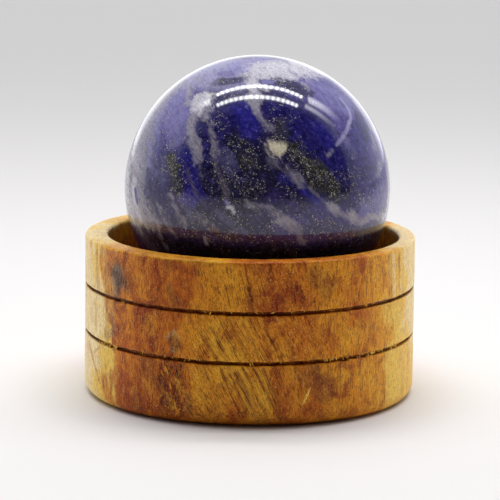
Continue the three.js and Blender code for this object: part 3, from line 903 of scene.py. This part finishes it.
def wood_material():
    t = Tree.of_material("turned_wood")
    place = t.place_mm()
    x, y, z = t.split(place)
    paint = t.attribute("paint", "Color")

    # The grain leans down to the right at the front, less above the upper groove, and is upright
    # at the sides.
    lean = t.times(t.step(x, -20.0, -9.0, 0.15, 0.56), t.step(x, -4.0, 24.0, 1.0, 0.0))
    above = t.math("MAXIMUM", t.minus(z, 23.0), 0.0)
    rise = t.minus(z, t.times(above, 0.6))
    u = t.plus(x, t.times(lean, t.minus(rise, 12.0)))
    grain = t.add("CombineXYZ", {0: u, 1: y, 2: z})
    burl = t.attribute("burl")
    figure = t.noise(t.scaled(grain, (0.5, 0.5, 0.06)), 1.0, 4, 0.65, 0.4)
    fibre = t.noise(t.scaled(grain, (3.2, 3.2, 0.7)), 1.0, 3, 0.75)
    pores = t.noise(t.scaled(grain, (3.4, 3.4, 0.085)), 1.0, 1, 0.4)
    fine_pores = t.noise(t.scaled(grain, (4.0, 4.0, 0.6)), 1.0, 1, 0.5)
    grit = t.noise(t.scaled(grain, (4.2, 4.2, 2.4)), 1.0, 2, 0.7)
    patch = t.noise(t.scaled(place, (1.0, 1.0, 0.7)), 0.32, 4, 0.62, 0.8)
    snarl = t.noise(t.scaled(place, (1.3, 1.3, 0.6)), 1.0, 4, 0.7, 1.2)

    # Darker and lighter figure, and a burl with orange and dark knots of grain.
    pale = t.step(t.vector_math("DOT_PRODUCT", paint, (0.0, 1.0, 0.0), "Value"), 0.35, 0.6)
    tone = t.mix(t.step(figure, 0.48, 0.70, 0.0, 0.55), paint, (214, 168, 112), "MULTIPLY")
    tone = t.mix(t.step(figure, 0.46, 0.30, 0.0, 0.3), tone, (250, 186, 60))
    heart = t.step(pale, 0.8, 0.2)
    brown = t.times(heart, t.step(patch, 0.50, 0.36, 0.0, 0.6))
    tone = t.mix(brown, tone, (186, 128, 84), "MULTIPLY")
    golden = t.times(heart, t.step(patch, 0.50, 0.66, 0.0, 0.6))
    tone = t.mix(golden, tone, (238, 156, 34))
    dark_burl = t.times(burl, t.step(snarl, 0.50, 0.36, 0.0, 0.8))
    tone = t.mix(dark_burl, tone, (110, 70, 50), "MULTIPLY")
    bright_burl = t.times(burl, t.step(snarl, 0.55, 0.68, 0.0, 0.75))
    tone = t.mix(bright_burl, tone, (240, 160, 36))

    # Fibres, open pores that are long where the grain leans, and grit.
    tone = t.mix(t.step(fibre, 0.54, 0.36, 0.0, 0.65), tone, (196, 150, 108), "MULTIPLY")
    tone = t.mix(t.step(fibre, 0.54, 0.72, 0.0, 0.25), tone, (254, 200, 70))
    leaning = t.times(t.step(x, -14.0, -9.0), t.step(x, 10.0, 4.0))
    leaning = t.times(leaning, t.step(z, 25.0, 23.0, 0.4, 1.0))
    few = t.plus(0.31, t.times(leaning, 0.075))
    pore = t.step(pores, few, t.minus(few, 0.04))
    fine = t.times(t.step(fine_pores, 0.40, 0.31), 0.8)
    dark = t.math("MAXIMUM", pore, fine)
    dark = t.times(dark, t.step(pale, 0.0, 1.0, 0.85, 0.2))
    tone = t.mix(dark, tone, (138, 86, 46), "MULTIPLY")
    tone = t.mix(t.step(grit, 0.58, 0.70, 0.0, 0.5), tone, (255, 208, 104))
    tone = t.mix(t.step(grit, 0.44, 0.32, 0.0, 0.6), tone, (126, 84, 48), "MULTIPLY")

    rough = t.step(fibre, 0.3, 0.7, 0.36, 0.52)
    rough = t.plus(rough, t.times(dark, 0.2))
    height = t.minus(t.times(fibre, 0.5), dark)
    height = t.plus(height, t.times(t.times(burl, snarl), 4.0))
    normal = t.bump(height, 0.5, 0.00006)
    return t.surface({"Base Color": tone, "Roughness": rough, "Specular IOR Level": 0.2,
                      "Normal": normal})


# --- The studio ---

def make_floor():
    bpy.ops.mesh.primitive_plane_add(size=FLOOR_SIZE, location=(0, 0, STAND_LOW.z - FLOOR_GAP))
    floor = bpy.context.object
    floor.name = "studio_floor"
    t = Tree.of_material("pale_floor")
    # It darkens far in front, so that its end is soft in the ball's reflection.
    _, along, _ = t.split(t.place_mm())
    far = t.step(along, -120.0, -1000.0)
    colour = t.mix(far, (214, 212, 211), (162, 160, 159))
    floor.data.materials.append(t.surface({"Base Color": colour, "Roughness": 0.9}))

    # An even light for the floor alone keeps it pale without filling the ball's dark middle.
    light = bpy.data.lights.new("floor_light", "SUN")
    light.energy, light.angle = FLOOR_LIGHT, radians(FLOOR_LIGHT_SPREAD)
    lamp = add_object("floor_light", light)
    receivers = bpy.data.collections.new("floor_only")
    receivers.objects.link(floor)
    lamp.light_linking.receiver_collection = receivers


def make_tent():
    """A white light tent, open towards the camera, as the light from all around."""
    world = bpy.data.worlds.new("light_tent")
    world.use_nodes = True
    t = Tree(world.node_tree)
    place = t.add("TexCoord", {}, "Generated")
    across, behind, above = t.split(place)
    inside = t.vector_math("DOT_PRODUCT", place, TENT_AXIS, "Value")
    # Its opening is softer at the left, and its wall is brightest low behind.
    softness = t.minus(0.11, t.times(across, 0.06))
    edge = t.minus(TENT_EDGE, softness)
    tent = t.step(inside, edge, t.plus(TENT_EDGE, softness))
    back = t.times(t.step(behind, 0.80, 0.92), t.step(above, 0.35, 0.10))
    rear = t.times(t.step(behind, 0.05, 0.75, 0.0, 0.45), t.step(above, 0.1, 0.5, 1.0, 0.45))
    wall = t.plus(TENT_SIDES, rear)
    wall = t.plus(wall, t.times(back, TENT_BACK - TENT_SIDES))
    radiance = t.plus(ROOM, t.times(tent, wall))
    background = t.nodes["Background"]
    background.inputs["Color"].default_value = (0.95, 0.96, 1.0, 1)
    t.feed(background.inputs["Strength"], radiance)
    scene.world = world


def strip(name, start, end, width, radiance, beads=0, fades=False):
    """A soft-edged strip light that faces the ball, as a row of beads or fading to its end."""
    start, end = Vector(start), Vector(end)
    along = (end - start).normalized()
    outward = (start + end) / 2 - BALL_CENTRE
    outward = (outward - along * outward.dot(along)).normalized()
    light = bpy.data.lights.new(name, "AREA")
    light.shape = "RECTANGLE"
    light.size, light.size_y = (end - start).length, width
    light.energy = radiance * pi * light.size * light.size_y
    light.use_nodes = True
    t = Tree(light.node_tree)
    place = t.add("NewGeometry", {}, "Parametric")
    u, v, _ = t.split(place)
    centred = t.math("ABSOLUTE", t.minus(v, 0.5))
    shape = t.step(centred, 0.5, 0.1)
    ends = t.math("ABSOLUTE", t.minus(u, 0.5))
    shape = t.times(shape, t.step(ends, 0.5, 0.47))
    if beads:
        wave = t.math("COSINE", t.times(u, 2 * pi * beads))
        shape = t.times(shape, t.step(wave, 0.8, -0.8, 0.5, 1.3))
    if fades:
        shape = t.times(shape, t.step(u, 0.0, 1.0, 1.0, 0.0))
    t.feed(t.nodes["Emission"].inputs["Strength"], shape)
    lamp = add_object(name, light)
    axes = Matrix((along, outward.cross(along), outward)).transposed()
    lamp.matrix_world = Matrix.Translation((start + end) / 2) @ axes.to_4x4()
    lamp.visible_camera = False
    return lamp


def make_studio():
    make_floor()
    make_tent()
    # The two rows of lamps, and the glows beside them, that the ball's polish mirrors.
    strip("front_row", (-0.234, 0.002, 0.5), (0.220, -0.006, 0.5), 0.050, 19, beads=17)
    strip("back_row", (-0.216, 0.104, 0.5), (0.230, 0.098, 0.5), 0.050, 19, beads=17)
    strip("right_glow", (0.245, 0.100, 0.48), (0.41, 0.140, 0.340), 0.10, 8, fades=True)
    strip("left_glow", (-0.24, 0.070, 0.47), (-0.33, 0.080, 0.40), 0.09, 5, fades=True)
    strip("right_glow_front", (0.235, 0.025, 0.47), (0.40, 0.040, 0.320), 0.06, 6, fades=True)


def light_sides(stand):
    """Low side lights that brighten the stand alone, whose sides face away from the rows."""
    receivers = bpy.data.collections.new("stand_only")
    receivers.objects.link(stand)
    for name, x, radiance in (("left_side", -0.3, 2.2), ("right_side", 0.3, 1.9)):
        lamp = strip(name, (x, -0.04, 0.06), (x, 0.18, 0.06), 0.2, radiance)
        lamp.light_linking.receiver_collection = receivers


def make_camera():
    """The photograph's view: from the front, a little above, with a slight roll."""
    distance, elevation, aim_height, roll = 0.4196, 10.8, 0.02845, 0.75
    camera = add_object("camera", bpy.data.cameras.new("camera"))
    camera.data.sensor_width = 36
    camera.data.lens = 132.3
    camera.data.shift_y = 0.029
    rise = radians(elevation)
    camera.location = (0, -distance * cos(rise), aim_height + distance * sin(rise))
    level = Matrix.Rotation(radians(90 - elevation), 4, "X")
    rolled = level @ Matrix.Rotation(radians(roll), 4, "Z")
    camera.rotation_euler = rolled.to_euler()
    scene.camera = camera


# --- Assembly ---

make_camera()
make_studio()
scene.view_settings.view_transform = "Standard"

ball = make_ball()
ball.data.materials.append(lapis_material())
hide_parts("sphere")
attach(ball, "root")

stand = make_stand()
light_sides(stand)
stand.data.materials.append(wood_material())
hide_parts("stand")
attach(stand, "root")
